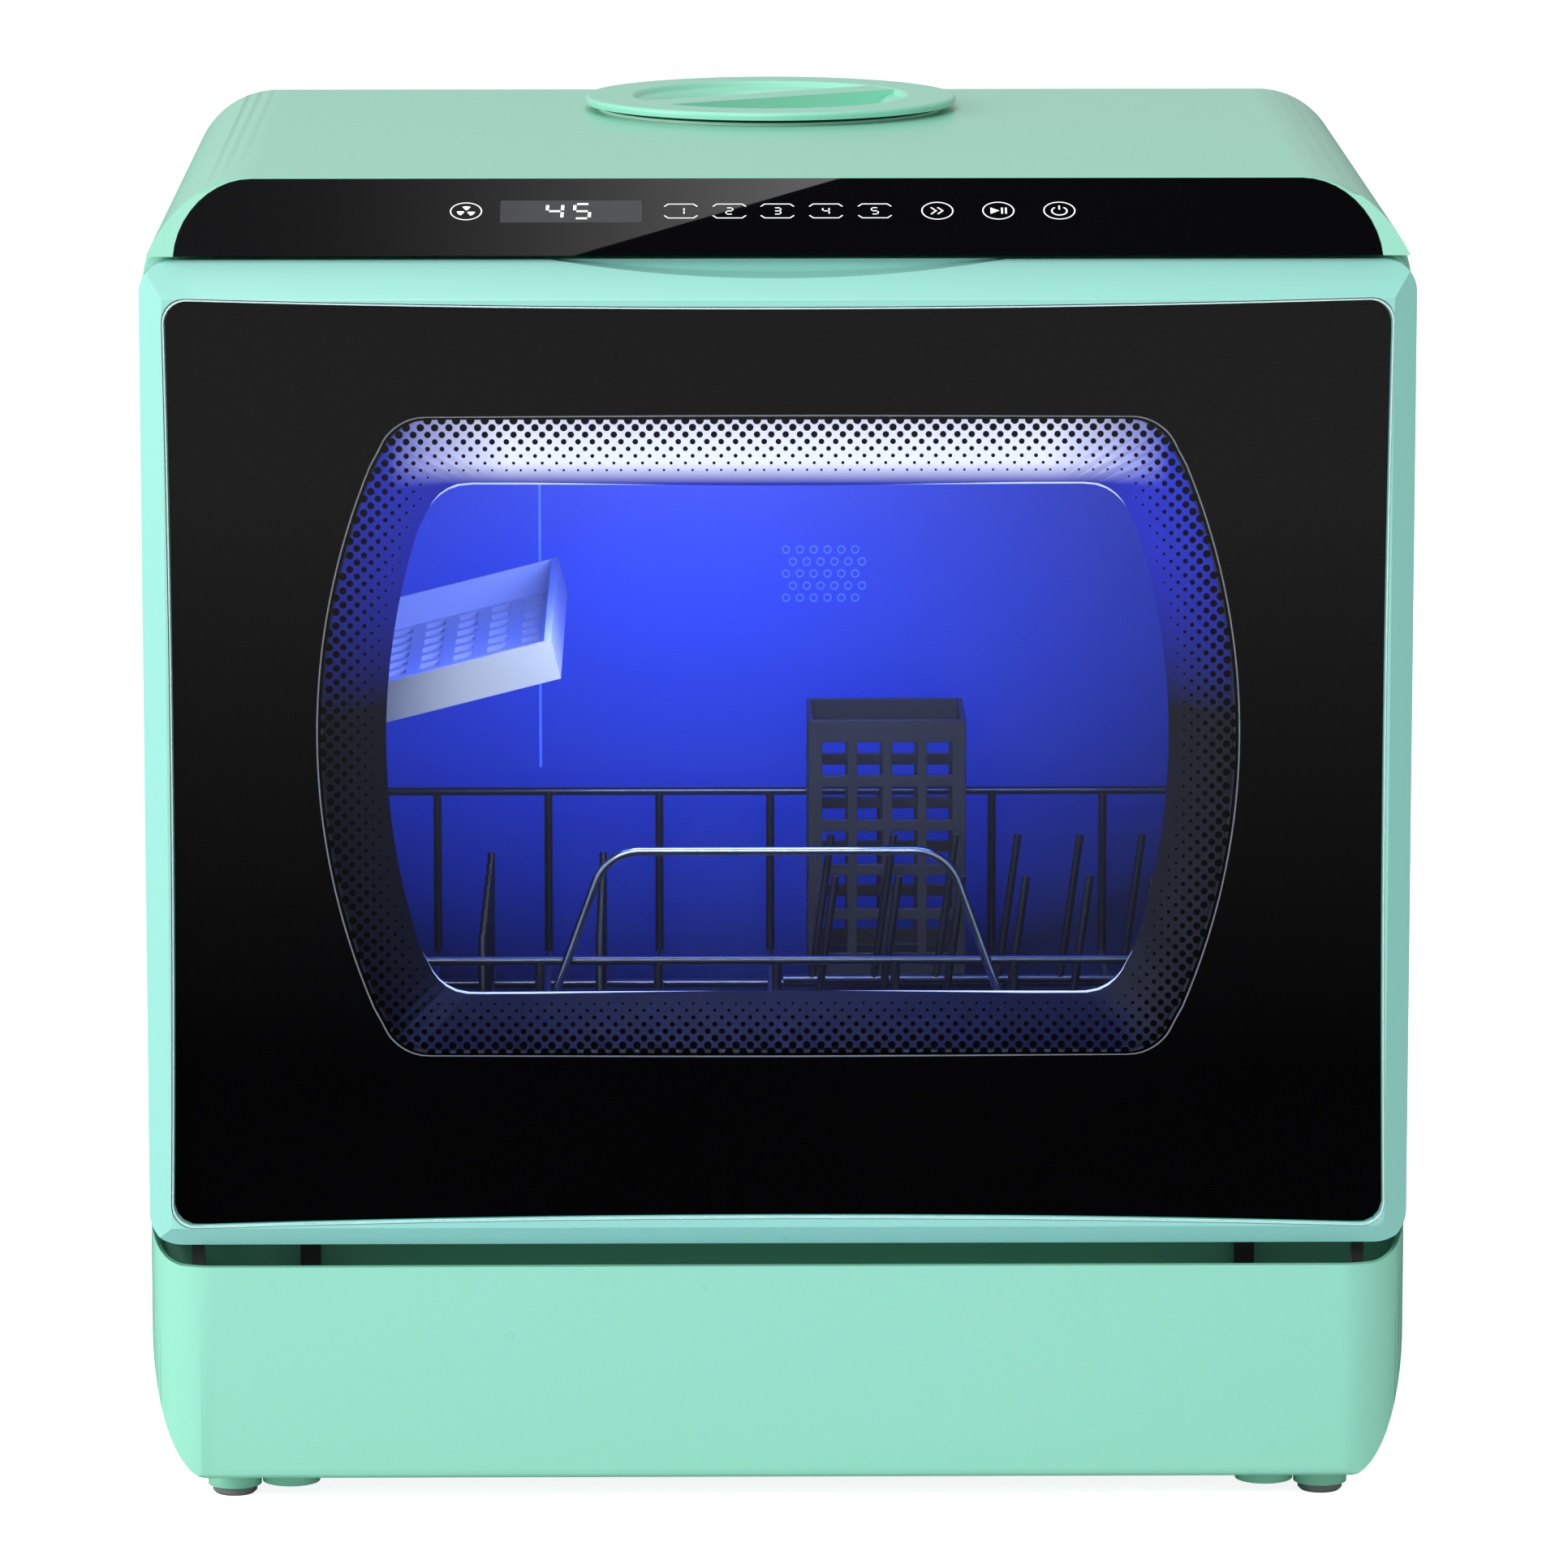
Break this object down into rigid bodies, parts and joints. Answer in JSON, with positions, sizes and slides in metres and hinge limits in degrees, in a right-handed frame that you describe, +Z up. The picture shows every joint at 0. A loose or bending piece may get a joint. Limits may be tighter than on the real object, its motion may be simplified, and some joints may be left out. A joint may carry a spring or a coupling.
{
  "type": "countertop dishwasher",
  "caption": "Boxy countertop dishwasher with a drop-down glass window door, sloping touch panel, round water-fill cap, wire rack, cup shelf and spray arm.",
  "frame": {"origin": "on the worktop, under the middle of the machine's box", "axes": "+X to the right seen from the front, +Y to the back, +Z up"},
  "size_m": [0.42, 0.366, 0.448],
  "materials": {
    "mint_abs": "gloss moulded ABS",
    "mint_door_abs": "gloss moulded ABS",
    "printed_glass": "black printed toughened glass with a clear window",
    "panel_glass": "black gloss glass",
    "display_lens": "smoked lens",
    "clear_moulding": "clear moulded plastic",
    "grey_pp": "moulded polypropylene",
    "liner_grey": "moulded ABS",
    "tub_pp": "moulded polypropylene",
    "rubber_grey": "moulded rubber",
    "rubber_black": "moulded rubber",
    "circuit_board": "lacquered board",
    "steel": "stainless steel",
    "black_steel": "black coated steel",
    "coated_wire": "black coated wire",
    "bright_wire": "bright coated wire",
    "spray_grey": "moulded polypropylene",
    "motor_grey": "painted motor casing",
    "black_plastic": "moulded plastic",
    "shelf_grey": "moulded ABS",
    "light_lens": "blue light strip",
    "float_orange": "foam float"
  },
  "bodies": {
    "machine": {"top_housing": "mint_abs", "base_skirt": "mint_abs", "bottom_pan": "grey_pp", "rear_cover": "mint_abs", "rear_grille": "grey_pp", "base_bosses": "mint_abs", "foot_pads": "rubber_grey", "control_panel": "panel_glass", "display_lens": "display_lens", "display_board": "circuit_board", "fill_funnel": "spray_grey", "fill_seal": "rubber_black", "wash_tub": "tub_pp", "mouth_frame": "liner_grey", "door_seal": "rubber_black", "hinge_pins": "steel", "hinge_brackets": "steel", "door_bumpers": "rubber_black", "catch_guide": "grey_pp", "light_strip": "light_lens", "upper_spray": "spray_grey", "spray_hub": "grey_pp", "sump": "grey_pp", "filter_plate": "steel", "rack_floor": "coated_wire", "rack_rims": "coated_wire", "rack_handle": "bright_wire", "rack_tines": "coated_wire", "rack_feet": "grey_pp", "shelf_brackets": "tub_pp", "wash_pump": "motor_grey", "pump_volute": "grey_pp", "drain_pump": "motor_grey", "drain_outlet": "spray_grey", "heater": "steel", "inlet_tank": "clear_moulding", "control_board": "circuit_board", "fan_housing": "black_plastic", "air_duct": "liner_grey", "mains_inlet": "rubber_black", "cover_screws": "steel"},
    "door": {"door_frame": "mint_door_abs", "door_glass": "printed_glass", "bowl_window": "clear_moulding", "door_liner": "liner_grey", "hinge_arms": "black_steel", "latch_hook": "grey_pp", "liner_screws": "steel"},
    "cap": {"fill_cap": "mint_abs"},
    "spray": {"lower_spray_arm": "spray_grey"},
    "filter": {"filter_cup": "grey_pp"},
    "shelf": {"cup_shelf": "shelf_grey"},
    "basket": {"cutlery_basket": "black_plastic"},
    "impeller": {"pump_impeller": "spray_grey"},
    "float": {"tank_float": "float_orange"},
    "rotor": {"fan_rotor": "grey_pp"},
    "bolt": {"catch_bolt": "steel"}
  },
  "joints": [
    {"name": "door_hinge", "type": "hinge", "parent": "machine", "child": "door", "pos_m": [0, -0.168, 0.071], "axis": [1, 0, 0], "range_deg": [0, 90]},
    {"name": "cap_lift", "type": "slide", "parent": "machine", "child": "cap", "axis": [0, 0, 1], "range_m": [0, 0.06]},
    {"name": "spray_spin", "type": "hinge", "parent": "machine", "child": "spray", "pos_m": [0, -0.01275, 0.116], "axis": [0, 0, 1], "continuous": true},
    {"name": "filter_turn", "type": "hinge", "parent": "machine", "child": "filter", "pos_m": [-0.024, -0.02675, 0.1], "axis": [0, 0, 1], "range_deg": [0, 60]},
    {"name": "shelf_fold", "type": "hinge", "parent": "machine", "child": "shelf", "pos_m": [-0.17, 0, 0.246], "axis": [0, -1, 0], "range_deg": [0, 72]},
    {"name": "basket_lift", "type": "slide", "parent": "machine", "child": "basket", "axis": [0, 0, 1], "range_m": [0, 0.06]},
    {"name": "impeller_spin", "type": "hinge", "parent": "machine", "child": "impeller", "pos_m": [0, 0.06, 0.043], "axis": [0, 1, 0], "continuous": true},
    {"name": "float_rise", "type": "slide", "parent": "machine", "child": "float", "axis": [0, 0, 1], "range_m": [0, 0.15]},
    {"name": "rotor_spin", "type": "hinge", "parent": "machine", "child": "rotor", "pos_m": [-0.11, 0.13, 0.325], "axis": [0, 1, 0], "continuous": true},
    {"name": "bolt_lift", "type": "slide", "parent": "machine", "child": "bolt", "axis": [0, 0, 1], "range_m": [0, 0.003], "stiffness_N_per_m": 300, "springref_m": -0.004}
  ]
}
